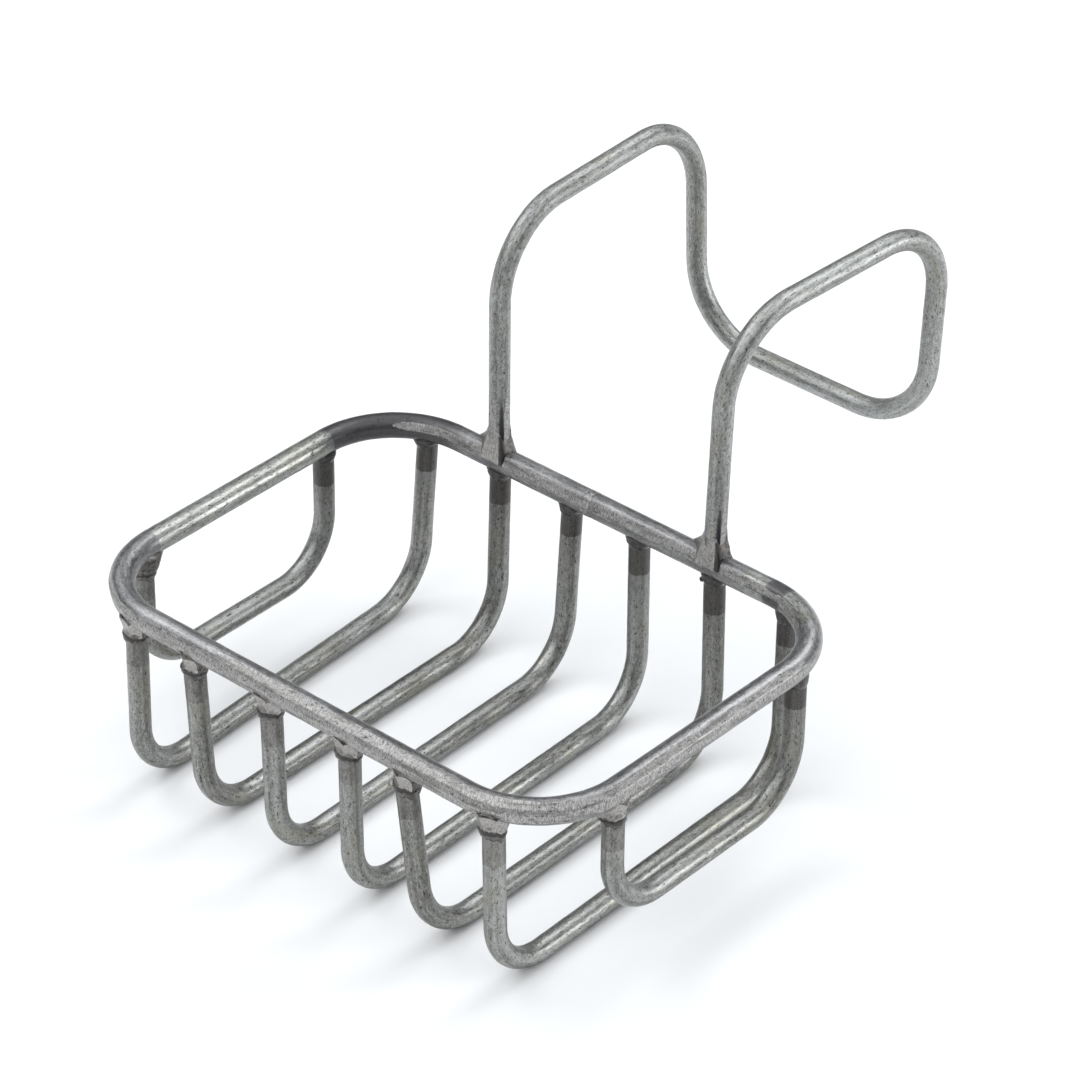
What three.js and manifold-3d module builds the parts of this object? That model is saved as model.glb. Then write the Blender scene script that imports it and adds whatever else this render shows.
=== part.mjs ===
// Over-the-rim rod basket: a small hand-welded basket of bent steel rod with a saddle hanger.
// Millimetres, +Z up. X runs along the basket, +Y points to the hanger at its back.
// A rod is swept with a twelve-sided section whose flats, not corners, are one diameter apart.

import * as THREE from 'three';
import Module from 'manifold-3d';
import { mergeVertices } from 'three/addons/utils/BufferGeometryUtils.js';

const wasm = await Module();
wasm.setup();

// ---- Rods ----
const RIM_ROD = 6;
const RIB_ROD = 5;
const HANGER_ROD = 5;
const ROD_SIDES = 12;
const BEND_STEPS = 6;

// ---- Basket: lengths between rod centrelines ----
const BASKET_LENGTH = 137;
const BASKET_WIDTH = 99.6;
const BASKET_HEIGHT = 51.5; // floor to the top of the rim
const RIM_CORNER_RADIUS = 22;
const RIM_BUTT_X = -6; // where the two ends of the rim rod meet on the back rail

// ---- Ribs ----
const RIB_BEND_RADIUS = 14.5;
const FIRST_RIB_INSET = 15.5; // from a short side's centreline to the first full rib
const RIB_FOOT_INSET = 0.9; // the floor bends stand this far inside the long rails
const END_RIB_RISE = 12.8; // the end ribs' floor above the basket's floor
const END_LEG_INSET = 20; // from a long rail's centreline to an end rib's leg

// Each full rib was set by eye, so its four points stray from the even pattern along X:
// front top, front floor, back floor, back top.
const RIB_STRAY = [
  [1.3, 0.7, -4.9, -1.9],
  [-1.6, 0.2, -1.2, -1.9],
  [0.4, 0.6, -2, -1.2],
  [2.3, 2, -0.6, -2.3],
  [-2.7, 1.9, 0.5, -1.5],
  [0, 1, -0.6, -1.1],
];
// The end ribs stray along Y the same way: front leg, back leg.
const LEFT_END_STRAY = [-1.2, -2.3];
const RIGHT_END_STRAY = [1, 1.8];

// ---- Hanger ----
const HANGER_SPACING = 64; // between its feet
const HANGER_OFFSET = -2.1; // its feet stand this far off the basket's middle
const HANGER_LEAN = 1.8; // the right loop leans outwards by this much, from its foot to its top
const HANGER_FLARE = 3.2; // each top run opens outwards by this much
const HANGER_RISE = 60.8; // from the rim's centreline to the top runs' centreline
const HANGER_REACH = 71.4; // from the front legs to the back legs
const HANGER_DROP = 58.9; // from the top runs down to the cross bar
const HANGER_TOE_IN = 2.3; // the cross bar's ends stand this far inside the top runs' ends
const HANGER_BEND_RADIUS = 20;

// ---- Welds ----
const GAP = 0.3; // left between any two solids that touch
const WELD_ROOT = 1.5; // filler metal between a rod's end and the rim
const WELD_WALL = 0.55; // filler at its thinnest edge
const RIB_WELD_SPREAD = 1.9; // how far a rib's fillet runs along the rim past the rod's side
const RIB_WELD_TOE = 4.2; // how far it runs down the rod
const RIB_WELD_LAP = 1.6; // its edge stops this far below the rim's centreline
const FOOT_WELD_SPREAD = 3.4;
const FOOT_WELD_TOE = 6.5;
const FOOT_WELD_LAP = 0.6; // its edge stops this far above the rim's centreline
const BUTT_WELD_WIDTH = 1.6;
const BUTT_WELD_CROWN = 0.15;

// ---- Worked out from the above ----
const rimZ = BASKET_HEIGHT - RIM_ROD / 2;
const halfLength = BASKET_LENGTH / 2;
const halfWidth = BASKET_WIDTH / 2;
const ribTopZ = rimZ - RIM_ROD / 2 - WELD_ROOT;
const footZ = rimZ + RIM_ROD / 2 + WELD_ROOT;

const AXIS_X = new THREE.Vector3(1, 0, 0);
const AXIS_Z = new THREE.Vector3(0, 0, 1);

// How far a rounded side's centreline stands from the middle, at a given distance along it.
function railDistance(along, halfSide, halfSpan) {
  const straight = halfSpan - RIM_CORNER_RADIUS;
  const past = Math.min(Math.max(Math.abs(along) - straight, 0), RIM_CORNER_RADIUS);
  return halfSide - RIM_CORNER_RADIUS + Math.sqrt(RIM_CORNER_RADIUS ** 2 - past ** 2);
}

// The centreline of a bent rod: straight legs joined by arcs of given radii. Its sections stand
// only at the ends of the straights and around the bends. `across` holds one direction for each
// leg, square to it, which the section's flats follow.
class BentRod extends THREE.Curve {
  constructor(corners, radii, across) {
    super();
    this.stations = [{ point: corners[0], across: across[0] }];
    for (let i = 1; i < corners.length - 1; i += 1) {
      this.addBend(corners[i - 1], corners[i], corners[i + 1], radii[i - 1], across[i - 1], across[i]);
    }
    this.stations.push({ point: corners.at(-1), across: across.at(-1) });
    this.stations[0].tangent = direction(corners[0], corners[1]);
    this.stations.at(-1).tangent = direction(corners.at(-2), corners.at(-1));
  }

  addBend(before, corner, after, radius, acrossBefore, acrossAfter) {
    const inward = direction(before, corner);
    const outward = direction(corner, after);
    const turn = inward.angleTo(outward);
    const setback = radius * Math.tan(turn / 2);
    const toCentre = outward.clone().sub(inward).normalize();
    const centre = corner.clone().addScaledVector(toCentre, radius / Math.cos(turn / 2));
    const start = corner.clone().addScaledVector(inward, -setback);
    const spoke = start.sub(centre);
    const axis = new THREE.Vector3().crossVectors(inward, outward).normalize();
    for (let step = 0; step <= BEND_STEPS; step += 1) {
      const share = step / BEND_STEPS;
      this.stations.push({
        point: spoke.clone().applyAxisAngle(axis, turn * share).add(centre),
        tangent: inward.clone().applyAxisAngle(axis, turn * share),
        across: acrossBefore.clone().lerp(acrossAfter, share),
      });
    }
  }

  get steps() {
    return this.stations.length - 1;
  }

  getUtoTmapping(u) {
    return u;
  }

  getPoint(t) {
    const place = t * this.steps;
    const index = Math.min(Math.floor(place + 1e-6), this.steps - 1);
    const { point } = this.stations[index];
    return point.clone().lerp(this.stations[index + 1].point, place - index);
  }

  computeFrenetFrames() {
    const tangents = this.stations.map(({ tangent }) => tangent.clone());
    const normals = this.stations.map(({ tangent, across }) =>
      across.clone().addScaledVector(tangent, -across.dot(tangent)).normalize());
    const binormals = normals.map((normal, i) => new THREE.Vector3().crossVectors(tangents[i], normal));
    return { tangents, normals, binormals };
  }
}

function direction(from, to) {
  return to.clone().sub(from).normalize();
}

// A polygon whose flats touch the given radius, with a flat square to each of its two axes.
function rodSection(radius) {
  const cornerRadius = radius / Math.cos(Math.PI / ROD_SIDES);
  const section = new THREE.Shape();
  for (let i = 0; i < ROD_SIDES; i += 1) {
    const angle = ((i + 0.5) / ROD_SIDES) * Math.PI * 2;
    const x = cornerRadius * Math.cos(angle);
    const y = cornerRadius * Math.sin(angle);
    if (i === 0) section.moveTo(x, y);
    else section.lineTo(x, y);
  }
  section.closePath();
  return section;
}

function sweep(path, radius) {
  return new THREE.ExtrudeGeometry(rodSection(radius), { extrudePath: path, steps: path.steps });
}

// ---- Joining and cutting ----
function solidOf(geometry) {
  const bare = geometry.clone();
  bare.deleteAttribute('normal');
  bare.deleteAttribute('uv');
  const merged = mergeVertices(bare, 1e-4);
  return new wasm.Manifold(new wasm.Mesh({
    numProp: 3,
    vertProperties: new Float32Array(merged.attributes.position.array),
    triVerts: new Uint32Array(merged.index.array),
  }));
}

function geometryOf(solid) {
  const { vertProperties, triVerts } = solid.getMesh();
  const geometry = new THREE.BufferGeometry();
  geometry.setAttribute('position', new THREE.BufferAttribute(vertProperties, 3));
  geometry.setIndex(new THREE.BufferAttribute(triVerts, 1));
  geometry.computeVertexNormals();
  return geometry;
}

// ---- Centrelines ----
function rimPath() {
  const halfButt = BUTT_WELD_WIDTH / 2 + GAP;
  const corners = [
    new THREE.Vector3(RIM_BUTT_X - halfButt, halfWidth, rimZ),
    new THREE.Vector3(-halfLength, halfWidth, rimZ),
    new THREE.Vector3(-halfLength, -halfWidth, rimZ),
    new THREE.Vector3(halfLength, -halfWidth, rimZ),
    new THREE.Vector3(halfLength, halfWidth, rimZ),
    new THREE.Vector3(RIM_BUTT_X + halfButt, halfWidth, rimZ),
  ];
  return new BentRod(corners, Array(4).fill(RIM_CORNER_RADIUS), Array(5).fill(AXIS_Z));
}

function fullRibPath(index) {
  const pitch = (BASKET_LENGTH - 2 * FIRST_RIB_INSET) / (RIB_STRAY.length - 1);
  const evenX = -halfLength + FIRST_RIB_INSET + index * pitch;
  const [frontTop, frontFloor, backFloor, backTop] = RIB_STRAY[index].map((stray) => evenX + stray);
  const floorZ = RIB_ROD / 2;
  const corners = [
    new THREE.Vector3(frontTop, -railDistance(frontTop, halfWidth, halfLength), ribTopZ),
    new THREE.Vector3(frontFloor, -halfWidth + RIB_FOOT_INSET, floorZ),
    new THREE.Vector3(backFloor, halfWidth - 2 * RIB_FOOT_INSET, floorZ),
    new THREE.Vector3(backTop, railDistance(backTop, halfWidth, halfLength), ribTopZ),
  ];
  return new BentRod(corners, Array(2).fill(RIB_BEND_RADIUS), Array(3).fill(AXIS_X));
}

function endRibPath(side, [frontStray, backStray]) {
  const frontY = -halfWidth + END_LEG_INSET + frontStray;
  const backY = halfWidth - END_LEG_INSET + backStray;
  const floorZ = RIB_ROD / 2 + END_RIB_RISE;
  const frontX = side * railDistance(frontY, halfLength, halfWidth);
  const backX = side * railDistance(backY, halfLength, halfWidth);
  const corners = [
    new THREE.Vector3(frontX, frontY, ribTopZ),
    new THREE.Vector3(frontX, frontY, floorZ),
    new THREE.Vector3(backX, backY, floorZ),
    new THREE.Vector3(backX, backY, ribTopZ),
  ];
  return new BentRod(corners, Array(2).fill(RIB_BEND_RADIUS), Array(3).fill(AXIS_X));
}

function hangerFootX(side) {
  return HANGER_OFFSET + (side * HANGER_SPACING) / 2;
}

function hangerPath() {
  const topZ = rimZ + HANGER_RISE;
  const backY = halfWidth + HANGER_REACH;
  const sideCorners = (side) => {
    const footX = hangerFootX(side);
    const footY = railDistance(footX, halfWidth, halfLength);
    const topX = side > 0 ? footX + HANGER_LEAN : footX;
    const backX = topX + side * HANGER_FLARE;
    return [
      new THREE.Vector3(footX, footY, footZ),
      new THREE.Vector3(topX, footY, topZ),
      new THREE.Vector3(backX, backY, topZ),
      new THREE.Vector3(backX - side * HANGER_TOE_IN, backY, topZ - HANGER_DROP),
    ];
  };
  const right = sideCorners(1).reverse();
  const corners = [...sideCorners(-1), ...right];
  const outwards = AXIS_X.clone().negate();
  const across = [AXIS_X, AXIS_X, AXIS_X, AXIS_Z, outwards, outwards, outwards];
  return new BentRod(corners, Array(6).fill(HANGER_BEND_RADIUS), across);
}

// ---- Welds ----
// A fillet before it is fitted: round where it thins out on the rod, and fanned out along the
// rim where it laps round it. Its local Z runs along the rod towards the rim.
function filletBlank(rodRadius, spread, toe, lap) {
  const toeRadius = rodRadius + WELD_WALL;
  const alongRadius = toeRadius + spread;
  const acrossRadius = Math.max(RIM_ROD / 2, rodRadius) + WELD_WALL;
  const rows = [
    [0, -toe],
    [1, -toe],
    [1, -toe / 3],
    [1, lap],
    [0, lap],
  ];
  const blank = new THREE.LatheGeometry(rows.map(([r, z]) => new THREE.Vector2(r, z)), 2 * ROD_SIDES);
  blank.rotateX(Math.PI / 2);
  const position = blank.attributes.position;
  for (let i = 0; i < position.count; i += 1) {
    const share = THREE.MathUtils.smoothstep(position.getZ(i), -toe, lap);
    position.setX(i, position.getX(i) * THREE.MathUtils.lerp(toeRadius, alongRadius, share));
    position.setY(i, position.getY(i) * THREE.MathUtils.lerp(toeRadius, acrossRadius, share));
  }
  return blank;
}

// A fillet fitted between a rod's end and the rim. `up` is 1 where the rim is above the end.
function filletWeld(end, up, rimHeading, blank, rodPath, rodRadius) {
  const placed = blank.clone();
  if (up < 0) placed.rotateX(Math.PI);
  placed.rotateZ(rimHeading);
  placed.translate(end.x, end.y, end.z);
  const rodEnvelope = solidOf(sweep(rodPath, rodRadius + GAP));
  const endClearance = new THREE.CylinderGeometry(rodRadius + GAP, rodRadius + GAP, 2 * GAP, ROD_SIDES);
  endClearance.rotateX(Math.PI / 2);
  endClearance.translate(end.x, end.y, end.z);
  const fitted = solidOf(placed)
    .subtract(rimEnvelope)
    .subtract(buttEnvelope)
    .subtract(rodEnvelope)
    .subtract(solidOf(endClearance));
  const biggest = fitted.decompose().sort((a, b) => b.volume() - a.volume())[0];
  return geometryOf(biggest);
}

// The seam that closes the rim hoop, ground almost flush.
function buttWeld(extraRadius, extraWidth) {
  const half = (BUTT_WELD_WIDTH + extraWidth) / 2;
  const edge = RIM_ROD / 2 + extraRadius;
  const crown = edge + BUTT_WELD_CROWN;
  const profile = [[0, -half], [edge, -half], [crown, 0], [edge, half], [0, half]];
  const disc = new THREE.LatheGeometry(profile.map(([r, y]) => new THREE.Vector2(r, y)), 2 * ROD_SIDES);
  disc.rotateZ(-Math.PI / 2);
  disc.translate(RIM_BUTT_X, halfWidth, rimZ);
  return disc;
}

const rimEnvelope = solidOf(sweep(rimPath(), RIM_ROD / 2 + GAP));
const buttEnvelope = solidOf(buttWeld(GAP, 2 * GAP));

// The angle from +X that the rim's centreline makes at a point above or below it.
function rimHeadingAt(x, y) {
  const pastX = Math.abs(x) - (halfLength - RIM_CORNER_RADIUS);
  const pastY = Math.abs(y) - (halfWidth - RIM_CORNER_RADIUS);
  if (pastX <= 0) return 0;
  if (pastY <= 0) return Math.PI / 2;
  return -Math.sign(x * y) * Math.atan2(pastX, pastY);
}

// ---- Materials ----
const bareSteel = new THREE.MeshStandardMaterial({ color: 0x8e918e, roughness: 0.42, metalness: 1 });
const groundSteel = new THREE.MeshStandardMaterial({ color: 0x858382, roughness: 0.5, metalness: 1 });
const weldSteel = new THREE.MeshStandardMaterial({ color: 0x77726c, roughness: 0.55, metalness: 1 });

function piece(name, geometry, material) {
  const mesh = new THREE.Mesh(geometry, material);
  mesh.name = name;
  return mesh;
}

function ribWithWelds(name, path) {
  const group = new THREE.Group();
  group.add(piece(name, sweep(path, RIB_ROD / 2), bareSteel));
  const blank = filletBlank(RIB_ROD / 2, RIB_WELD_SPREAD, RIB_WELD_TOE, rimZ - RIB_WELD_LAP - ribTopZ);
  const ends = { front: path.stations[0].point, back: path.stations.at(-1).point };
  for (const [where, end] of Object.entries(ends)) {
    const heading = rimHeadingAt(end.x, end.y);
    const weld = filletWeld(end, 1, heading, blank, path, RIB_ROD / 2);
    group.add(piece(`${name}_${where}_weld`, weld, weldSteel));
  }
  return group;
}

function hangerWithWelds() {
  const group = new THREE.Group();
  const path = hangerPath();
  group.add(piece('hanger', sweep(path, HANGER_ROD / 2), bareSteel));
  const lap = footZ - rimZ - FOOT_WELD_LAP;
  const blank = filletBlank(HANGER_ROD / 2, FOOT_WELD_SPREAD, FOOT_WELD_TOE, lap);
  const feet = { left: path.stations[0].point, right: path.stations.at(-1).point };
  for (const [where, end] of Object.entries(feet)) {
    const weld = filletWeld(end, -1, rimHeadingAt(end.x, end.y), blank, path, HANGER_ROD / 2);
    group.add(piece(`hanger_${where}_foot_weld`, weld, weldSteel));
  }
  return group;
}

function buildBasket() {
  const basket = new THREE.Group();
  basket.add(piece('rim_hoop', sweep(rimPath(), RIM_ROD / 2), groundSteel));
  basket.add(piece('rim_butt_weld', buttWeld(0, 0), weldSteel));
  RIB_STRAY.forEach((_, index) => basket.add(ribWithWelds(`rib_${index + 1}`, fullRibPath(index))));
  basket.add(ribWithWelds('left_end_rib', endRibPath(-1, LEFT_END_STRAY)));
  basket.add(ribWithWelds('right_end_rib', endRibPath(1, RIGHT_END_STRAY)));
  basket.add(hangerWithWelds());
  return basket;
}

// The origin is the middle of the whole object's footprint, on the surface it stands on.
const basket = buildBasket();
basket.updateMatrixWorld(true);
const bounds = new THREE.Box3().setFromObject(basket, true);
basket.position.set(-(bounds.min.x + bounds.max.x) / 2, -(bounds.min.y + bounds.max.y) / 2, -bounds.min.z);

export default basket;
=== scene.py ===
"""Looks for the over-the-rim rod basket: galvanised and ground steel rods, weld beads, studio."""
import math
import bmesh
import bpy
import numpy as np
from mathutils import Matrix, Vector, noise


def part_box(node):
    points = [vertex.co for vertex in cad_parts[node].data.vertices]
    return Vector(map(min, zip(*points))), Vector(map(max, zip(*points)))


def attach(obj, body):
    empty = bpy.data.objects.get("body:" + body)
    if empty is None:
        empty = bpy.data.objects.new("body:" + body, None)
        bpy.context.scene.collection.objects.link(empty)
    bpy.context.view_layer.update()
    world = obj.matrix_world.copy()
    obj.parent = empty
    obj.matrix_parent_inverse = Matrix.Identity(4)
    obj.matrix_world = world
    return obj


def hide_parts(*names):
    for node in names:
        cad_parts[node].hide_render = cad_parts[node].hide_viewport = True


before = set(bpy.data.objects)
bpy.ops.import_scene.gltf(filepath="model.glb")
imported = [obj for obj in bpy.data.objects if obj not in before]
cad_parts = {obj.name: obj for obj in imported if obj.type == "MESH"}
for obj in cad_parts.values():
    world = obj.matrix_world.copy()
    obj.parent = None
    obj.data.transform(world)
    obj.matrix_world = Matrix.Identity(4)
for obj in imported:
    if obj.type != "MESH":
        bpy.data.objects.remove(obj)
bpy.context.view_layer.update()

MM = 0.001
BODY = "root"
CAD_SIDES = 12  # sides of a CAD rod's section

# ---- Rods ----
RIM_RADIUS = 3.0 * MM
RIB_RADIUS = 2.5 * MM
HANGER_RADIUS = 2.47 * MM
RING_STEP = 0.7 * MM
RIB_SIDES = 40
RIM_SIDES = 56
ROOT_OVERLAP = 2.2 * MM  # a rod's end runs on this far into the rim's own metal

# ---- Camera: how far off the object's middle it looks, and from where ----
CAMERA_AZIMUTH = 41.22
CAMERA_ELEVATION = 33.94
CAMERA_ROLL = 0.59
CAMERA_DISTANCE = 1.071
CAMERA_LENS = 161.7
AIM_HEIGHT = 0.030
AIM_RIGHT = 0.0170
AIM_UP = 0.0300


# ---------------------------------------------------------------- centrelines from the frame
def cad_rings(node):
    """Centres and directions of a CAD rod's sections, from one end to the other."""
    bm = bmesh.new()
    bm.from_mesh(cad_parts[node].data)
    bmesh.ops.remove_doubles(bm, verts=bm.verts, dist=1e-6)
    bm.normal_update()
    ring = end_cap(bm)
    seen = set(ring)
    centres, normals = [], []
    while ring:
        points = np.array([v.co for v in ring])
        centre = points.mean(0)
        centres.append(centre)
        normals.append(np.linalg.svd(points - centre)[2][2])
        following = {e.other_vert(v) for v in ring for e in v.link_edges} - seen
        seen |= following
        ring = list(following)
    bm.free()
    centres = np.array(centres)
    heading = np.gradient(centres, axis=0)
    normals = np.array(normals)
    normals *= np.sign((normals * heading).sum(1))[:, None]
    return centres, normals


def end_cap(bm):
    """The corners of one end of a swept rod: a flat group of triangles with one corner per side."""
    done = set()
    for start in bm.faces:
        if start in done:
            continue
        group, todo = {start}, [start]
        while todo:
            face = todo.pop()
            for edge in face.edges:
                for other in edge.link_faces:
                    if other not in group and other.normal.dot(start.normal) > 1 - 1e-6:
                        group.add(other)
                        todo.append(other)
        done |= group
        corners = {v for face in group for v in face.verts}
        if len(group) == CAD_SIDES - 2 and len(corners) == CAD_SIDES:
            return list(corners)
    raise RuntimeError("no end cap found")


def smooth_line(centres, headings, step, extend):
    """Evenly fine points along the rod: straight stretches stay straight and bends become round."""
    centres = [centres[0] - headings[0] * extend, *centres[1:-1], centres[-1] + headings[-1] * extend]
    points = []
    for i in range(len(centres) - 1):
        a, b = centres[i], centres[i + 1]
        chord = np.linalg.norm(b - a)
        turn = math.acos(min(1.0, float(headings[i] @ headings[i + 1])))
        pull = chord if turn < 1e-4 else 2 * chord / math.sin(turn / 2) * math.tan(turn / 4)
        count = max(1, round(chord / step))
        for k in range(count):
            t = k / count
            h = [2 * t**3 - 3 * t**2 + 1, t**3 - 2 * t**2 + t, 3 * t**2 - 2 * t**3, t**3 - t**2]
            points.append(h[0] * a + h[1] * pull * headings[i] + h[2] * b + h[3] * pull * headings[i + 1])
    points.append(centres[-1])
    points = np.array(points)
    tangents = np.gradient(points, axis=0)
    tangents /= np.linalg.norm(tangents, axis=1)[:, None]
    along = np.concatenate([[0], np.cumsum(np.linalg.norm(np.diff(points, axis=0), axis=1))])
    return points, tangents, along


def carried_normals(tangents, first):
    """A normal for each section, carried along the rod without twist."""
    normal = first - tangents[0] * (first @ tangents[0])
    normals = []
    for tangent in tangents:
        normal = normal - tangent * (normal @ tangent)
        normal /= np.linalg.norm(normal)
        normals.append(normal.copy())
    return np.array(normals)


# ---------------------------------------------------------------- mesh making
def mesh_object(name, points, faces, attributes):
    mesh = bpy.data.meshes.new(name)
    mesh.from_pydata([tuple(p) for p in points], [], faces)
    for key, values in attributes.items():
        values = np.asarray(values, np.float32)
        kind = "FLOAT" if values.ndim == 1 else "FLOAT_VECTOR"
        layer = mesh.attributes.new(key, kind, "POINT")
        layer.data.foreach_set("value" if values.ndim == 1 else "vector", values.ravel())
    mesh.polygons.foreach_set("use_smooth", [True] * len(mesh.polygons))
    mesh.validate()
    mesh.update()
    obj = bpy.data.objects.new(name, mesh)
    bpy.context.scene.collection.objects.link(obj)
    return obj


def tube_faces(rings, sides):
    """Quads between the rings, and a fan at each end round two last points."""
    faces = []
    for i in range(rings - 1):
        for j in range(sides):
            k = (j + 1) % sides
            faces.append((i * sides + j, i * sides + k, (i + 1) * sides + k, (i + 1) * sides + j))
    first, last = rings * sides, rings * sides + 1
    top = (rings - 1) * sides
    for j in range(sides):
        k = (j + 1) % sides
        faces.append((k, j, first))
        faces.append((top + j, top + k, last))
    return faces


def fractal(points, scale, seed, octaves=3):
    """Fractal noise in about -1 to 1 at many points; scale is in features per metre."""
    shift = Vector((seed * 7.31, seed * 3.17, seed * 5.73))
    return np.array([noise.fractal(Vector(p) * scale + shift, 1.0, 2.0, octaves) for p in points])


class Rod:
    """A round bar along a CAD rod's centreline, with its wobble, ground flats and finish."""

    def __init__(self, node, radius, sides, first_normal, extend, seed):
        self.node, self.radius, self.sides, self.seed = node, radius, sides, seed
        centres, headings = cad_rings(node)
        self.line, self.tangents, self.along = smooth_line(centres, headings, RING_STEP, extend)
        self.normals = carried_normals(self.tangents, np.array(first_normal, float))
        self.binormals = np.cross(self.tangents, self.normals)
        self.length = self.along[-1]
        angle = np.arange(sides) / sides * 2 * math.pi
        self.spokes = (
            self.normals[:, None] * np.cos(angle)[None, :, None]
            + self.binormals[:, None] * np.sin(angle)[None, :, None]
        )
        wobble = fractal(self.line, 90, seed) * 0.03 * MM
        self.offsets = self.spokes * (radius + wobble)[:, None, None]
        self.angle = angle
        self.ground = np.zeros(self.offsets.shape[:2])

    def roughen(self, amount, scale):
        """Shallow unevenness of drawn and dipped rod."""
        flat = (self.line[:, None] + self.offsets).reshape(-1, 3)
        bumps = fractal(flat, scale, self.seed + 40, 2).reshape(self.ground.shape)
        self.offsets += self.spokes * (bumps * amount)[..., None]

    def grind(self, directions, depth):
        """Cuts a flat that faces `directions`, one for each section, as deep as `depth` says."""
        reach = (self.offsets * directions[:, None]).sum(2)
        excess = reach - (self.radius - depth)[:, None]
        cut = np.clip(excess, 0, None)
        self.offsets -= directions[:, None] * cut[..., None]
        self.ground = np.maximum(self.ground, np.clip(excess / (0.03 * MM), 0, 1))

    def build(self, name, coat, scorch_and_shade):
        rings, sides = self.offsets.shape[:2]
        per_point = lambda values: np.broadcast_to(values.reshape(rings, -1), (rings, sides)).ravel()
        points = (self.line[:, None] + self.offsets).reshape(-1, 3)
        ends = np.array([self.line[0], self.line[-1]])
        grain = np.stack([
            np.repeat(self.along[:, None], sides, 1),
            np.repeat(np.cos(self.angle)[None] * self.radius, rings, 0),
            np.repeat(np.sin(self.angle)[None] * self.radius, rings, 0),
        ], 2).reshape(-1, 3) / MM + self.seed * 31.7
        pad = lambda values: np.concatenate([values, values[:1], values[-1:]])
        attributes = {
            "grain": pad(grain),
            "coat": pad(per_point(coat)) / MM,
            "scorch_and_shade": pad(per_point(scorch_and_shade)),
            "ground": pad(self.ground.ravel()),
        }
        return mesh_object(name, np.concatenate([points, ends]), tube_faces(rings, sides), attributes)


def finish_piece(obj, material, slot, *nodes):
    obj.data.materials.append(material)
    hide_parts(*nodes)
    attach(obj, BODY)
    return obj


# ---------------------------------------------------------------- materials
class Graph:
    """Short calls for the shader nodes that the steels share."""

    def __init__(self, name):
        self.material = bpy.data.materials.new(name)
        self.material.use_nodes = True
        self.tree = self.material.node_tree
        self.tree.nodes.clear()

    def node(self, kind, inputs=(), **settings):
        made = self.tree.nodes.new(kind)
        for key, value in settings.items():
            setattr(made, key, value)
        for key, value in dict(inputs).items():
            self.feed(made.inputs[key], value)
        return made

    def feed(self, socket, value):
        if isinstance(value, bpy.types.NodeSocket):
            self.tree.links.new(value, socket)
        else:
            socket.default_value = value

    def attribute(self, name, output="Fac"):
        return self.node("ShaderNodeAttribute", attribute_name=name).outputs[output]

    def math(self, operation, a, b=0.0, c=0.0, clamp=False):
        made = self.node("ShaderNodeMath", {0: a, 1: b, 2: c}, operation=operation, use_clamp=clamp)
        return made.outputs[0]

    def stretch(self, vector, factors):
        made = self.node("ShaderNodeVectorMath", {0: vector, 1: factors}, operation="MULTIPLY")
        return made.outputs[0]

    def noise(self, vector, scale, detail=2.0, roughness=0.5):
        inputs = {"Vector": vector, "Scale": scale, "Detail": detail, "Roughness": roughness}
        return self.node("ShaderNodeTexNoise", inputs).outputs["Fac"]

    def range(self, value, low, high, to_low=0.0, to_high=1.0):
        inputs = {"Value": value, "From Min": low, "From Max": high, "To Min": to_low, "To Max": to_high}
        return self.node("ShaderNodeMapRange", inputs, interpolation_type="SMOOTHSTEP").outputs[0]

    def mix(self, factor, a, b):
        made = self.node("ShaderNodeMix", data_type="RGBA")
        for index, value in ((0, factor), (6, a), (7, b)):
            self.feed(made.inputs[index], value)
        return made.outputs[2]

    def blend(self, factor, a, b):
        made = self.node("ShaderNodeMix", data_type="FLOAT")
        for index, value in ((0, factor), (2, a), (3, b)):
            self.feed(made.inputs[index], value)
        return made.outputs[0]

    def bump(self, height, distance, strength):
        inputs = {"Height": height, "Distance": distance, "Strength": strength}
        return self.node("ShaderNodeBump", inputs).outputs["Normal"]

    def steel(self, colour, roughness, normal, metallic=1.0):
        shader = self.node("ShaderNodeBsdfPrincipled", {
            "Base Color": colour, "Roughness": roughness, "Metallic": metallic, "Normal": normal,
        })
        output = self.node("ShaderNodeOutputMaterial")
        self.tree.links.new(shader.outputs["BSDF"], output.inputs["Surface"])
        return self.material


def rgb(red, green, blue):
    return (red, green, blue, 1.0)


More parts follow.
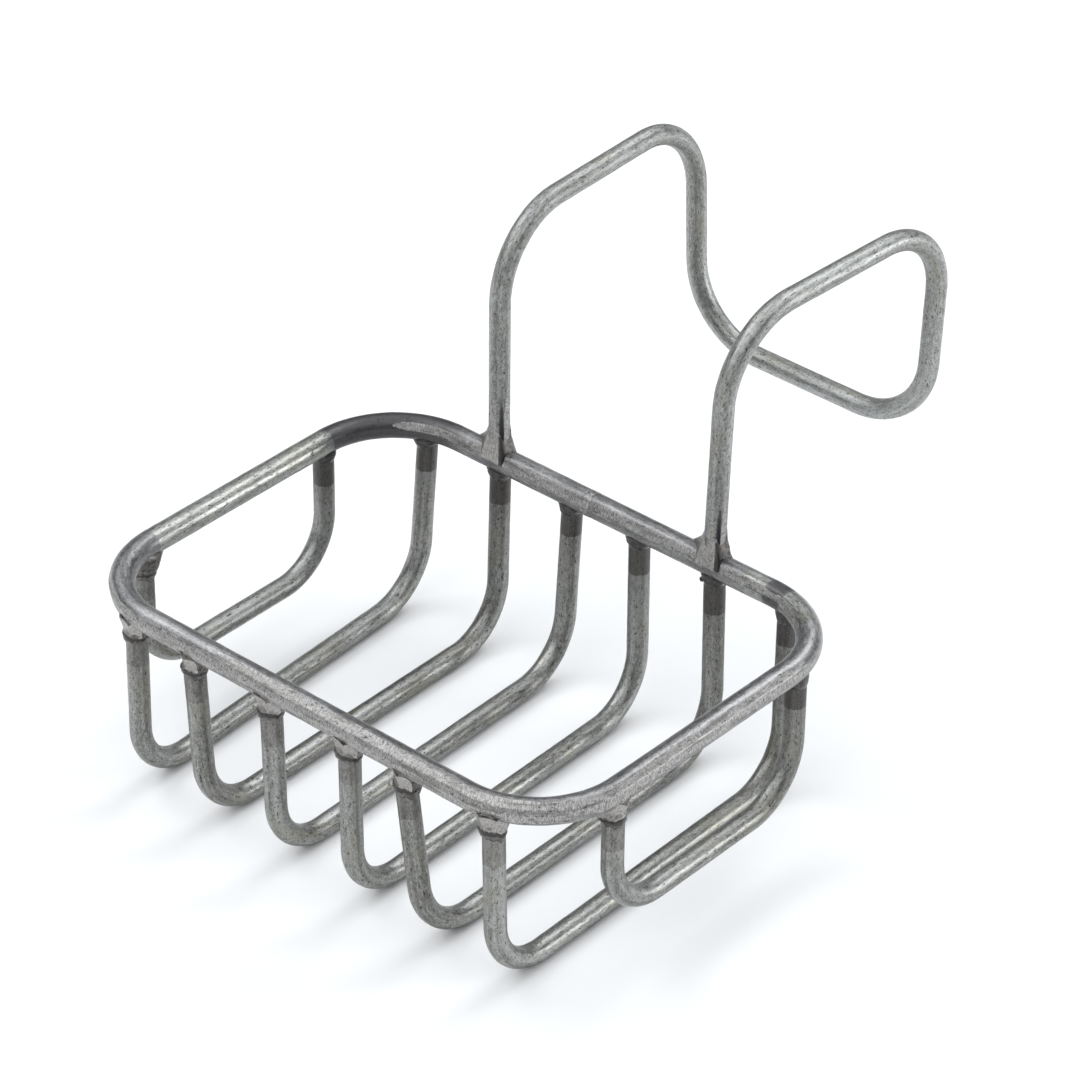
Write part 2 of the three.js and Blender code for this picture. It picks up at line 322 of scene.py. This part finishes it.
def rod_steel(name, zinc_light, zinc_dark, bare_light, bare_dark, scorched, smoothest):
    """Galvanised rod: streaked, pitted zinc, with bare or scorched lengths and ground places; some streaks
    and the darkening towards the ends are painted shade.
    """
    g = Graph(name)
    grain = g.attribute("grain", "Vector")
    streaks = g.noise(g.stretch(grain, (0.06, 1.0, 1.0)), 1.7, 3.0, 0.6)
    # Long streaks along the rod at random places round it: partly tarnish, partly painted shade standing in
    # for the dark reflection stripes on the legs.
    tarnish_and_shade_streaks = g.noise(g.stretch(grain, (0.02, 1.0, 1.0)), 0.50, 2.0, 0.5)
    mottle = g.noise(g.stretch(grain, (0.40, 1.0, 1.0)), 1.35, 4.0, 0.70)
    fleck = g.noise(g.stretch(grain, (0.55, 1.0, 1.0)), 3.2, 3.0, 0.80)
    clouds = g.noise(g.stretch(grain, (0.5, 1.0, 1.0)), 0.13, 3.0, 0.6)
    pits = g.range(g.noise(g.stretch(grain, (0.42, 1.0, 1.0)), 2.1, 3.0, 0.65), 0.33, 0.42, 1.0, 0.0)
    cracks = g.range(g.noise(g.stretch(grain, (0.22, 1.0, 1.0)), 3.3, 2.0, 0.5), 0.29, 0.37, 1.0, 0.0)

    tone = g.math("ADD", g.math("MULTIPLY", streaks, 0.16), g.math("MULTIPLY", mottle, 0.40))
    tone = g.math("ADD", tone, g.math("MULTIPLY", fleck, 0.44))
    tone = g.math("ADD", tone, g.math("MULTIPLY", clouds, 0.12))
    tone = g.math("ADD", tone, g.math("MULTIPLY", tarnish_and_shade_streaks, 0.42))
    tone = g.range(tone, 0.61, 0.94)
    zinc = g.mix(tone, zinc_dark, zinc_light)
    zinc = g.mix(g.range(clouds, 0.50, 0.68, 0.0, 0.45), zinc, rgb(0.26, 0.25, 0.195))
    # Where the scorch attribute reaches onto the zinc it darkens it: heat tint next to the welds, and on the
    # rib legs a fade that is painted shade below the rim, strongest on the back legs.
    zinc = g.mix(g.math("MULTIPLY", g.attribute("scorch_and_shade"), 0.6), zinc, rgb(0.115, 0.113, 0.105))
    zinc = g.mix(g.math("MULTIPLY", pits, 0.85), zinc, rgb(0.030, 0.028, 0.023))
    zinc = g.mix(g.math("MULTIPLY", cracks, 0.60), zinc, rgb(0.06, 0.06, 0.05))

    steel = g.mix(tone, bare_dark, bare_light)
    steel = g.mix(g.attribute("scorch_and_shade"), steel, scorched)
    steel = g.mix(g.math("MULTIPLY", cracks, 0.35), steel, rgb(0.04, 0.037, 0.033))
    steel = g.mix(g.math("MULTIPLY", pits, 0.55), steel, rgb(0.03, 0.027, 0.024))

    scratches = g.noise(g.stretch(grain, (2.2, 0.50, 0.50)), 1.9, 4.0, 0.75)
    filed = g.mix(g.range(scratches, 0.32, 0.68), rgb(0.17, 0.165, 0.16), rgb(0.58, 0.57, 0.555))
    filed = g.mix(g.math("MULTIPLY", pits, 0.75), filed, rgb(0.045, 0.039, 0.034))
    filed = g.mix(g.math("MULTIPLY", cracks, 0.7), filed, rgb(0.075, 0.068, 0.06))
    smears = g.noise(g.stretch(grain, (0.10, 0.8, 0.8)), 0.95, 3.0, 0.6)
    filed = g.mix(g.range(smears, 0.48, 0.66, 0.0, 0.6), filed, rgb(0.14, 0.130, 0.120))
    worn_edge = g.math("SUBTRACT", g.math("MULTIPLY", fleck, 0.7), 0.35)
    ground = g.range(g.math("ADD", g.attribute("ground"), worn_edge), 0.35, 0.65)

    ragged = g.math("MULTIPLY", g.math("SUBTRACT", mottle, 0.5), 0.9)
    coated = g.range(g.math("ADD", g.attribute("coat"), ragged), -0.15, 0.15)
    colour = g.mix(ground, g.mix(coated, steel, zinc), filed)
    bare_rough = g.range(mottle, 0.3, 0.7, 0.34, 0.48)
    zinc_rough = g.range(mottle, 0.3, 0.7, smoothest, smoothest + 0.16)
    rough = g.blend(coated, bare_rough, zinc_rough)
    rough = g.blend(ground, rough, g.range(scratches, 0.3, 0.7, 0.36, 0.54))
    relief = g.math("ADD", g.math("MULTIPLY", mottle, 0.35), g.math("MULTIPLY", fleck, 0.38))
    relief = g.math("SUBTRACT", relief, g.math("MULTIPLY", pits, 1.1))
    relief = g.blend(coated, g.math("MULTIPLY", fleck, 0.4), relief)
    relief = g.blend(ground, relief, g.math("MULTIPLY", scratches, 4.2))
    return g.steel(colour, rough, g.bump(relief, 0.00003, 0.6))


def weld_steel(name):
    """Weld metal: dark and glassy as it froze, light and scratched where it was ground off."""
    g = Graph(name)
    grain = g.attribute("grain", "Vector")
    lumps = g.noise(grain, 0.9, 4.0, 0.6)
    fleck = g.noise(grain, 3.0, 3.0, 0.7)
    scratches = g.noise(g.stretch(grain, (2.2, 2.2, 0.35)), 2.0, 4.0, 0.75)
    pits = g.range(g.noise(grain, 1.5, 2.0, 0.5), 0.30, 0.36, 1.0, 0.0)
    frozen = g.mix(g.range(lumps, 0.35, 0.68), rgb(0.085, 0.080, 0.078), rgb(0.19, 0.178, 0.165))
    frozen = g.mix(g.attribute("scorch_and_shade"), frozen, rgb(0.020, 0.018, 0.018))
    filed = g.mix(g.range(scratches, 0.3, 0.7), rgb(0.20, 0.19, 0.18), rgb(0.56, 0.545, 0.525))
    filed = g.mix(g.range(lumps, 0.54, 0.72, 0.0, 0.45), filed, rgb(0.24, 0.19, 0.145))
    filed = g.mix(g.math("MULTIPLY", pits, 0.8), filed, rgb(0.05, 0.04, 0.033))
    ragged = g.math("MULTIPLY", g.math("SUBTRACT", fleck, 0.5), 0.8)
    ground = g.range(g.math("ADD", g.attribute("ground"), ragged), 0.35, 0.65)
    colour = g.mix(ground, frozen, filed)
    glassy = g.blend(g.attribute("scorch_and_shade"), g.range(lumps, 0.3, 0.7, 0.22, 0.38), 0.15)
    rough = g.blend(ground, glassy, g.range(scratches, 0.3, 0.7, 0.34, 0.50))
    relief = g.blend(ground, g.math("ADD", lumps, g.math("MULTIPLY", fleck, 0.3)), scratches)
    unground = g.math("SUBTRACT", 1.0, ground)
    glass = g.math("MULTIPLY", g.attribute("scorch_and_shade"), unground)
    metallic = g.math("SUBTRACT", 1.0, g.math("MULTIPLY", glass, 0.75))
    return g.steel(colour, rough, g.bump(relief, 0.00008, 0.8), metallic)


# ---------------------------------------------------------------- the rods
def smoothstep(value, low, high):
    t = np.clip((value - low) / (high - low), 0, 1)
    return t * t * (3 - 2 * t)


RIM_LOW, RIM_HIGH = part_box("rim_hoop")
RIM_CENTRE = (np.array(RIM_LOW) + np.array(RIM_HIGH)) / 2
RIM_Z = float(RIM_CENTRE[2])


def zinc_depth(rod, first, last):
    """How far each section is past the bare lengths at the two ends: negative inside them."""
    return np.minimum(rod.along - first, rod.length - last - rod.along)


def end_scorch_and_shade(rod, first_end, last_end):
    """Heat tint at each end, even over the bare length; the fade that runs on along the zinc is painted
    shade on the legs below the rim.
    """
    from_first, from_last = rod.along, rod.length - rod.along
    distance = np.minimum(from_first, from_last)
    strength = np.where(from_first < from_last, first_end, last_end)
    return strength * np.exp(-np.clip(distance - 10 * MM, 0, None) / (13 * MM))


# Bare lengths at each rib's ends: front, back (millimetres, from the rod's end inside the rim).
RIB_BARE = {
    "left_end_rib": (10.5, 8.3),
    "rib_1": (11.0, 8.3),
    "rib_2": (11.5, 8.7),
    "rib_3": (12.0, 7.7),
    "rib_4": (10.4, 9.0),
    "rib_5": (11.0, 9.6),
    "rib_6": (12.0, 7.9),
    "right_end_rib": (11.5, 7.5),
}
# Strength of the darkening at the front and back rib ends: heat tint over the bare lengths, and painted
# shade where it fades along the zinc below the rim.
FRONT_SCORCH_AND_SHADE = 0.28
BACK_SCORCH_AND_SHADE = 0.80


def build_ribs(material):
    for seed, (name, bare) in enumerate(RIB_BARE.items()):
        rod = Rod(name, RIB_RADIUS, RIB_SIDES, (1, 0, 0), ROOT_OVERLAP, seed + 1)
        heat_tint_and_shade = (FRONT_SCORCH_AND_SHADE, BACK_SCORCH_AND_SHADE)
        if rod.line[0][1] > rod.line[-1][1]:
            bare, heat_tint_and_shade = bare[::-1], heat_tint_and_shade[::-1]
        rod.roughen(0.035 * MM, 300)
        # The end darkening: heat tint on the bare lengths, then painted shade fading down the legs.
        piece = rod.build(f"{name}_rod", zinc_depth(rod, bare[0] * MM, bare[1] * MM), end_scorch_and_shade(rod, *heat_tint_and_shade))
        finish_piece(piece, material, "rib_rod_steel", name)


# Round the hanger's feet, in degrees from the basket's side towards the right end.
FOOT_FLATS = (8, 86)
FOOT_SEAM = 54
FOOT_GRIND_LENGTH = 22 * MM


def build_hanger(material):
    """The hanger, filed on two faces above each foot, with a dark seam left between them."""
    rod = Rod("hanger", HANGER_RADIUS, RIB_SIDES, (1, 0, 0), ROOT_OVERLAP, 21)
    rod.roughen(0.03 * MM, 300)
    from_foot = np.minimum(rod.along, rod.length - rod.along)
    fade = 1 - smoothstep(from_foot, 0.3 * FOOT_GRIND_LENGTH, FOOT_GRIND_LENGTH)
    for bearing in FOOT_FLATS:
        facing = np.array([math.sin(math.radians(bearing)), -math.cos(math.radians(bearing)), 0])
        rod.grind(np.repeat(facing[None], len(rod.line), 0), 0.17 * MM * fade - 0.03 * MM)
    turn = np.degrees(np.arctan2(rod.spokes[..., 0], -rod.spokes[..., 1]))
    seam = np.exp(-(((turn - FOOT_SEAM) / 15) ** 2)) * fade[:, None]
    foot = np.exp(-((from_foot / (7 * MM)) ** 2))[:, None]
    rod.ground *= 1 - seam
    coat = 5 * MM - 10 * MM * np.maximum(foot, seam)
    piece = rod.build("hanger_rod", coat, np.clip(0.5 * foot + seam, 0, 1))
    finish_piece(piece, material, "hanger_rod_steel", "hanger")


def build_rim(rod, material):
    rod.roughen(0.035 * MM, 240)
    x, y = rod.line[:, 0] - RIM_CENTRE[0], rod.line[:, 1] - RIM_CENTRE[1]
    outward = np.cross(rod.tangents, (0, 0, 1))
    outward *= np.sign((outward * (rod.line - RIM_CENTRE)).sum(1))[:, None]
    up = np.array([0, 0, 1.0])
    waver = fractal(rod.line, 160, 5, 3) * 0.06 * MM
    fine_waver = fractal(rod.line, 420, 6, 2) * 0.03 * MM

    def file_flat(lean, tilt, depth, where):
        """A filed flat that leans `tilt` degrees up from level; lean is 1 outwards, -1 inwards."""
        direction = outward * lean * math.cos(math.radians(tilt)) + up * math.sin(math.radians(tilt))
        wander = fractal(rod.line, 70, tilt + 9, 3) * 0.10 * MM
        rod.grind(direction, (depth * MM + waver + fine_waver + wander) * where - 0.05 * MM * (1 - where))

    front = smoothstep(-y, 0.034, 0.047)
    front_right = front * smoothstep(x, -0.030, -0.012)
    back = smoothstep(y, 0.040, 0.049)
    right = smoothstep(x, 0.056, 0.066) * smoothstep(-y, -0.040, -0.024)
    left_corner = smoothstep(-x, 0.052, 0.062) * smoothstep(-y, 0.020, 0.034)
    file_flat(1, -8, 0.22, front)
    file_flat(1, 22, 0.20, front)
    file_flat(1, 56, 0.30, front_right)
    file_flat(-1, 30, 0.20, back)
    file_flat(1, 10, 0.20, right)
    file_flat(1, 48, 0.16, right)
    file_flat(1, -10, 0.22, left_corner)
    piece = rod.build("rim_hoop_rod", rim_zinc(x, y), rim_scorch(rod, x, y))
    finish_piece(piece, material, "ground_rim_steel", "rim_hoop")


def rim_zinc(x, y):
    """The zinc that is left on the rim: the middle of the left side, and two patches at the back."""
    left = np.minimum(np.minimum(y + 0.028, 0.027 - y), -x - 0.050)
    back = np.minimum(np.minimum(x - 0.040, 0.046 - x), y - 0.030)
    corner = np.minimum(np.minimum(x - 0.052, 0.062 - x), y - 0.030)
    return np.maximum(np.maximum(left, back), corner)


def rim_scorch(rod, x, y):
    """Soot near the welds, and the scorched back corners that no file reached."""
    scorch_and_shade = 0.9 * smoothstep(-x, 0.040, 0.050) * smoothstep(y, 0.0275, 0.0285)
    right_band = smoothstep(x, 0.045, 0.047) * (1 - smoothstep(x, 0.051, 0.053)) * (y > 0)
    scorch_and_shade = np.maximum(scorch_and_shade, 0.8 * right_band)
    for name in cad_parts:
        if name.endswith("_weld"):
            low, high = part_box(name)
            centre = (np.array(low) + np.array(high)) / 2
            distance = np.linalg.norm((rod.line - centre)[:, :2], axis=1)
            strength = 0.6 if "foot" in name else 0.3
            scorch_and_shade = np.maximum(scorch_and_shade, strength * np.exp(-((distance / (6 * MM)) ** 2)))
    return scorch_and_shade


# ---------------------------------------------------------------- welds
class Joint:
    """Where a rod's end meets the rim. Local x runs along the rim, y outwards, z up the rod."""

    def __init__(self, node, at_first_end, rim):
        centres, headings = cad_rings(node)
        end = centres[0] if at_first_end else centres[-1]
        away = headings[0] if at_first_end else -headings[-1]
        nearest = np.argmin(np.linalg.norm((rim.line - end)[:, :2], axis=1))
        along = rim.tangents[nearest]
        outward = np.cross(along, (0, 0, 1))
        outward *= np.sign(outward @ (rim.line[nearest] - RIM_CENTRE))
        self.origin = np.array([end[0], end[1], RIM_Z])
        self.axes = np.array([along, outward, away])

    def place(self, local):
        return self.origin + local @ self.axes


WELD_ROUND = 96
WELD_ROWS = 40
RING_RIDGE = (0.10, 0.045)  # place and width, as shares of the way from toe to rim
RING_GROOVE = (0.21, 0.035)
GROOVE_SOOT = (0.20, 0.05)


def hump(share, place_and_width):
    place, width = place_and_width
    return np.exp(-(((share - place) / width) ** 2))


def fillet(name, joint, rod_radius, size, planes, seed, seam=None):
    """A weld bead between rod and rim, with a ring at its toe, and the flats ground on it.

    `size` holds the bead's measures. Each plane is a bearing from the joint's outward side in
    degrees, a distance, and a tilt up the rod in degrees. `seam` holds the bearing of an unfiled seam and
    the side (1 or -1) on which the bead is filed bright.
    """
    around = np.arange(WELD_ROUND) / WELD_ROUND * 2 * math.pi
    c, s = np.cos(around), np.sin(around)
    lopsided = 1 - size["skew"] * math.copysign(1, joint.axes[0][0]) * c
    jitter = np.array([
        noise.fractal(Vector((a * 1.5, b * 1.5, seed * 3.3)), 1.0, 2.0, 3) for a, b in zip(c, s)
    ])
    toe_z = RIM_RADIUS + size["toe"] * (0.92 + 0.16 * jitter + size["slope"] * s)
    start = np.stack([rod_radius * 0.97 * c, rod_radius * 0.97 * s, toe_z], 1)
    reach = rod_radius + size["spread"] * (1 + 0.3 * jitter) * lopsided
    wrap = np.radians(size["lap"]) * s
    stop = np.stack([reach * c, 0.985 * RIM_RADIUS * np.sin(wrap), 0.985 * RIM_RADIUS * np.cos(wrap)], 1)
    belly = rod_radius + size["fullness"] * size["spread"] * lopsided
    corner_z = RIM_RADIUS * np.cos(wrap * 0.5) + size["lift"] * size["toe"]
    corner = np.stack([belly * c, np.maximum(belly, RIM_RADIUS + 0.2 * MM) * s, corner_z], 1)
    rows = np.linspace(0, 1, WELD_ROWS)[:, None, None]
    local = (1 - rows) ** 2 * start + 2 * rows * (1 - rows) * corner + rows**2 * stop
    outwards = local * np.array([1, 1, 0]) + np.array([0, 0, -0.25]) * local[..., 2:3]
    outwards /= np.linalg.norm(outwards, axis=2)[..., None]
    share = rows[..., 0]
    rough = fractal(local.reshape(-1, 3), 300, seed, 3).reshape(local.shape[:2])
    swell = 0.30 * rough * np.sin(math.pi * share) ** 0.7 * smoothstep(share, 0.1, 0.4)
    ring = hump(share, RING_RIDGE) - 0.7 * hump(share, RING_GROOVE)
    local = local + outwards * ((swell + size["ring"] * ring * (1 + 0.3 * rough)) * MM)[..., None]
    soot = np.exp(-((share / 0.035) ** 2)) + hump(share, GROOVE_SOOT)
    soot = soot + size["edge_soot"] * smoothstep(share, 0.95, 1.0)
    scorch_and_shade = np.clip(np.broadcast_to(soot, rough.shape) + size["soot"], 0, 1)
    ground = np.zeros(rough.shape)
    clear_of_ring = smoothstep(share, 0.22, 0.30) if size["ring"] else 1.0
    for bearing, distance, tilt in planes:
        turn, lean = math.radians(bearing), math.radians(tilt)
        facing = np.array([math.sin(turn) * math.cos(lean), math.cos(turn) * math.cos(lean), math.sin(lean)])
        excess = (local * facing).sum(2) - distance - 0.03 * MM * rough
        ground = np.maximum(ground, np.clip(excess / (0.04 * MM) + 0.5, 0, 1) * clear_of_ring)
        local = local - facing * (np.clip(excess, 0, None) * clear_of_ring)[..., None]
    if seam is not None:
        bearing, side = seam
        off = side * ((np.degrees(np.arctan2(local[..., 0], local[..., 1])) - bearing + 180) % 360 - 180)
        filed = smoothstep(off, 8, 20) * (1 - smoothstep(off, 90, 125)) * smoothstep(share, 0.02, 0.15)
        ground = np.maximum(ground * (off > 0), filed)
        dark = np.exp(-((off / (10 + 8 * share)) ** 2))
        ground *= 1 - dark
        scorch_and_shade = np.maximum(scorch_and_shade, dark)
    points = np.concatenate([local.reshape(-1, 3), [[0, 0, toe_z.mean()], [0, 0, 0.2 * RIM_RADIUS]]])
    attributes = {
        "grain": points / MM + seed * 17.3,
        "ground": np.append(ground.ravel(), [0, 0]),
        "scorch_and_shade": np.append(scorch_and_shade.ravel(), [0, 0]),
    }
    faces = tube_faces(WELD_ROWS, WELD_ROUND)
    if np.linalg.det(joint.axes) > 0:
        faces = [face[::-1] for face in faces]
    return mesh_object(name, joint.place(points), faces, attributes)


# Spread along the rim, toe down the rod, lap round the rim in degrees, and how full the bead is and
# how low; then its ring, soot, bulge to the left, slope of the toe, and soot where it meets the rim.
FRONT_WELD = {
    "spread": 2.9 * MM, "toe": 5.0 * MM, "lap": 74, "fullness": 0.62, "lift": 0.04,
    "ring": 0.20, "soot": 0.0, "skew": 0.55, "slope": 0.04, "edge_soot": 0.0,
}
BACK_WELD = {
    "spread": 1.1 * MM, "toe": 1.7 * MM, "lap": 56, "fullness": 0.3, "lift": 0.3,
    "ring": 0.0, "soot": 0.6, "skew": 0.0, "slope": 0.10, "edge_soot": 0.7,
}
FOOT_WELD = {
    "spread": 3.9 * MM, "toe": 7.4 * MM, "lap": 112, "fullness": 0.12, "lift": 0.22,
    "ring": 0.0, "soot": 0.0, "skew": 0.62, "slope": 0.10, "edge_soot": 0.7,
}


def build_rib_welds(material, rim):
    for seed, name in enumerate(RIB_BARE):
        for where, size in (("front", FRONT_WELD), ("back", BACK_WELD)):
            node = f"{name}_{where}_weld"
            joint = nearest_joint(name, rim, node)
            side = math.copysign(1, joint.axes[0][0])
            lean = side * (-14 + 18 * math.sin(seed * 2.3))
            flush = [
                (lean, RIM_RADIUS + 0.35 * MM, 13),
                (lean - side * 46, RIM_RADIUS + 1.0 * MM, 18),
                (lean + side * 48, RIM_RADIUS + 0.7 * MM, 16),
            ]
            planes = flush if where == "front" else []
            piece = fillet(f"{node}_bead", joint, RIB_RADIUS, size, planes, seed * 2 + 1)
            finish_piece(piece, material, "weld_steel", node)


def nearest_joint(node, rim, weld):
    low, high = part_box(weld)
    centre = (np.array(low) + np.array(high)) / 2
    joints = [Joint(node, first, rim) for first in (True, False)]
    return min(joints, key=lambda joint: np.linalg.norm(joint.origin - centre))


def build_foot_welds(material, rim):
    for seed, where in enumerate(("left", "right")):
        node = f"hanger_{where}_foot_weld"
        joint = nearest_joint("hanger", rim, node)
        side = math.copysign(1, joint.axes[0][0])
        flats = [
            (180 - side * (FOOT_FLATS[0] - 12), RIM_RADIUS + 0.30 * MM, 9),
            (180 - side * FOOT_FLATS[1], RIM_RADIUS + 0.90 * MM, 16),
            (180 + side * 45, RIM_RADIUS + 1.4 * MM, 14),
            (0, RIM_RADIUS + 0.15 * MM, 6),
        ]
        seam = (180 - side * FOOT_SEAM, side)
        piece = fillet(f"{node}_bead", joint, HANGER_RADIUS, FOOT_WELD, flats, 60 + seed, seam)
        finish_piece(piece, material, "weld_steel", node)


def build_spatter(material, rim):
    """A bead of spatter stuck beside the top of the fifth rib's back leg."""
    joint = nearest_joint("rib_5", rim, "rib_5_back_weld")
    bm = bmesh.new()
    bmesh.ops.create_icosphere(bm, subdivisions=3, radius=0.62 * MM)
    for vert in bm.verts:
        vert.co *= 1 + 0.12 * noise.noise(vert.co * 1400)
    centre = joint.origin + np.array([-2.35 * MM, -1.6 * MM, -RIM_RADIUS - 1.1 * MM])
    points = np.array([v.co for v in bm.verts]) + centre
    faces = [[v.index for v in face.verts] for face in bm.faces]
    bm.free()
    attributes = {"grain": points / MM, "ground": [0] * len(points), "scorch_and_shade": [0.8] * len(points)}
    piece = mesh_object("rib_5_weld_spatter", points, faces, attributes)
    piece.data.materials.append(material)
    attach(piece, BODY)


def build_butt_weld(material):
    """The seam where the rim's two ends meet, filed flush all round and on the inner flat."""
    low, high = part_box("rim_butt_weld")
    centre = (np.array(low) + np.array(high)) / 2
    half = (high.x - low.x) / 2 + 0.5 * MM
    flat = np.array([0, -math.cos(math.radians(30)), math.sin(math.radians(30))])
    rings = 17
    points, ground, soot = [], [], []
    for i in range(rings):
        share = i / (rings - 1) * 2 - 1
        for j in range(RIM_SIDES):
            a = j / RIM_SIDES * 2 * math.pi
            lump = noise.fractal(Vector((share * 1.2, math.cos(a) * 2, math.sin(a) * 2)), 1.0, 2.0, 3)
            radius = RIM_RADIUS + (0.05 * lump + 0.05 - 0.14 * share**6) * MM
            offset = np.array([share * half, radius * math.cos(a), radius * math.sin(a)])
            excess = float(offset @ flat) - RIM_RADIUS + 0.17 * MM
            points.append(centre + offset - flat * max(excess, 0))
            ground.append(0.9 if excess > 0 else 0.45 + 0.4 * lump)
            soot.append(0.8 * share**8)
    points += [centre - (half, 0, 0), centre + (half, 0, 0)]
    points = np.array(points)
    attributes = {
        "grain": (points - centre) / MM + 400,
        "ground": ground + [0, 0],
        "scorch_and_shade": soot + [0, 0],
        "coat": [-5] * len(points),
    }
    piece = mesh_object("rim_butt_weld_seam", points, tube_faces(rings, RIM_SIDES), attributes)
    finish_piece(piece, material, "weld_steel", "rim_butt_weld")


# ---------------------------------------------------------------- studio
def studio():
    floor_material = bpy.data.materials.new("pale_floor")
    floor_material.use_nodes = True
    shader = floor_material.node_tree.nodes["Principled BSDF"]
    shader.inputs["Base Color"].default_value = (0.95, 0.952, 0.955, 1)
    shader.inputs["Roughness"].default_value = 0.9
    shader.inputs["Specular IOR Level"].default_value = 0.1
    size = 3.0
    corners = [(-size, -size, 0), (size, -size, 0), (size, size, 0), (-size, size, 0)]
    mesh = bpy.data.meshes.new("floor")
    mesh.from_pydata(corners, [], [(0, 1, 2, 3)])
    mesh.materials.append(floor_material)
    floor = bpy.data.objects.new("floor", mesh)
    bpy.context.scene.collection.objects.link(floor)
    studio_sky()
    softbox("key", azimuth=180, elevation=51, size=(0.56, 0.56), power=3.2)
    softbox("right", azimuth=128, elevation=11, size=(0.20, 0.44), power=4.2)
    softbox("front", azimuth=350, elevation=42, size=(1.2, 0.9), power=3.6)
    softbox("overhead", azimuth=288, elevation=56, size=(0.6, 0.5), power=2.8)


def studio_sky():
    """A pale backdrop at the horizon, dim walls above it, and a bright ceiling."""
    world = bpy.data.worlds.new("studio")
    world.use_nodes = True
    nodes, links = world.node_tree.nodes, world.node_tree.links
    direction = nodes.new("ShaderNodeTexCoord")
    height = nodes.new("ShaderNodeSeparateXYZ")
    ramp = nodes.new("ShaderNodeValToRGB")
    stops = [(0.0, 0.80), (0.07, 0.80), (0.13, 0.20), (0.48, 0.20), (0.66, 1.10)]
    while len(ramp.color_ramp.elements) < len(stops):
        ramp.color_ramp.elements.new(0.5)
    for element, (position, glow) in zip(ramp.color_ramp.elements, stops):
        element.position = position
        element.color = (0.95 * glow, 0.975 * glow, glow, 1)
    links.new(direction.outputs["Generated"], height.inputs[0])
    links.new(height.outputs["Z"], ramp.inputs["Fac"])
    links.new(ramp.outputs["Color"], nodes["Background"].inputs["Color"])
    bpy.context.scene.world = world


LIGHT_DISTANCE = 1.3
SOFTBOX_TINT = (0.97, 0.985, 1.0)


def softbox(name, azimuth, elevation, size, power):
    light = bpy.data.lights.new(name, "AREA")
    light.shape = "RECTANGLE"
    light.size, light.size_y = size
    light.energy = power
    light.color = SOFTBOX_TINT
    lamp = bpy.data.objects.new(name, light)
    back = view_back(azimuth, elevation)
    target = Vector((0, 0, 0.04))
    lamp.location = target + back * LIGHT_DISTANCE
    lamp.rotation_euler = back.to_track_quat("Z", "Y").to_euler()
    bpy.context.scene.collection.objects.link(lamp)


def view_back(azimuth, elevation):
    a, e = math.radians(azimuth), math.radians(elevation)
    return Vector((math.sin(a) * math.cos(e), -math.cos(a) * math.cos(e), math.sin(e)))


def place_camera():
    camera_data = bpy.data.cameras.new("camera")
    camera_data.lens = CAMERA_LENS
    camera_data.sensor_width = 36
    camera = bpy.data.objects.new("camera", camera_data)
    back = view_back(CAMERA_AZIMUTH, CAMERA_ELEVATION)
    level_right = Vector((math.cos(math.radians(CAMERA_AZIMUTH)), math.sin(math.radians(CAMERA_AZIMUTH)), 0))
    roll = Matrix.Rotation(math.radians(CAMERA_ROLL), 3, back)
    right = roll @ level_right
    up = back.cross(right)
    aim = Vector((RIM_CENTRE[0], RIM_CENTRE[1], AIM_HEIGHT)) + right * AIM_RIGHT + up * AIM_UP
    turned = Matrix((right, up, back)).transposed().to_4x4()
    camera.matrix_world = Matrix.Translation(aim + back * CAMERA_DISTANCE) @ turned
    bpy.context.scene.collection.objects.link(camera)
    bpy.context.scene.camera = camera


place_camera()
bead_material = weld_steel("weld_metal")
rib_material = rod_steel(
    "galvanised_rib_rod",
    zinc_light=rgb(0.47, 0.475, 0.465),
    zinc_dark=rgb(0.145, 0.143, 0.128),
    bare_light=rgb(0.40, 0.395, 0.38),
    bare_dark=rgb(0.12, 0.115, 0.105),
    scorched=rgb(0.058, 0.054, 0.050),
    smoothest=0.33,
)
hanger_material = rod_steel(
    "galvanised_hanger_rod",
    zinc_light=rgb(0.55, 0.56, 0.555),
    zinc_dark=rgb(0.19, 0.188, 0.172),
    bare_light=rgb(0.42, 0.41, 0.40),
    bare_dark=rgb(0.14, 0.135, 0.13),
    scorched=rgb(0.040, 0.040, 0.048),
    smoothest=0.39,
)
rim_material = rod_steel(
    "ground_rim_rod",
    zinc_light=rgb(0.60, 0.615, 0.60),
    zinc_dark=rgb(0.22, 0.22, 0.20),
    bare_light=rgb(0.50, 0.50, 0.505),
    bare_dark=rgb(0.17, 0.165, 0.165),
    scorched=rgb(0.085, 0.083, 0.085),
    smoothest=0.27,
)
rim = Rod("rim_hoop", RIM_RADIUS, RIM_SIDES, (0, 0, 1), 0.5 * MM, 31)
build_ribs(rib_material)
build_hanger(hanger_material)
build_rim(rim, rim_material)
build_rib_welds(bead_material, rim)
build_foot_welds(bead_material, rim)
build_spatter(bead_material, rim)
build_butt_weld(rim_material)
studio()
bpy.context.scene.view_settings.view_transform = "Standard"
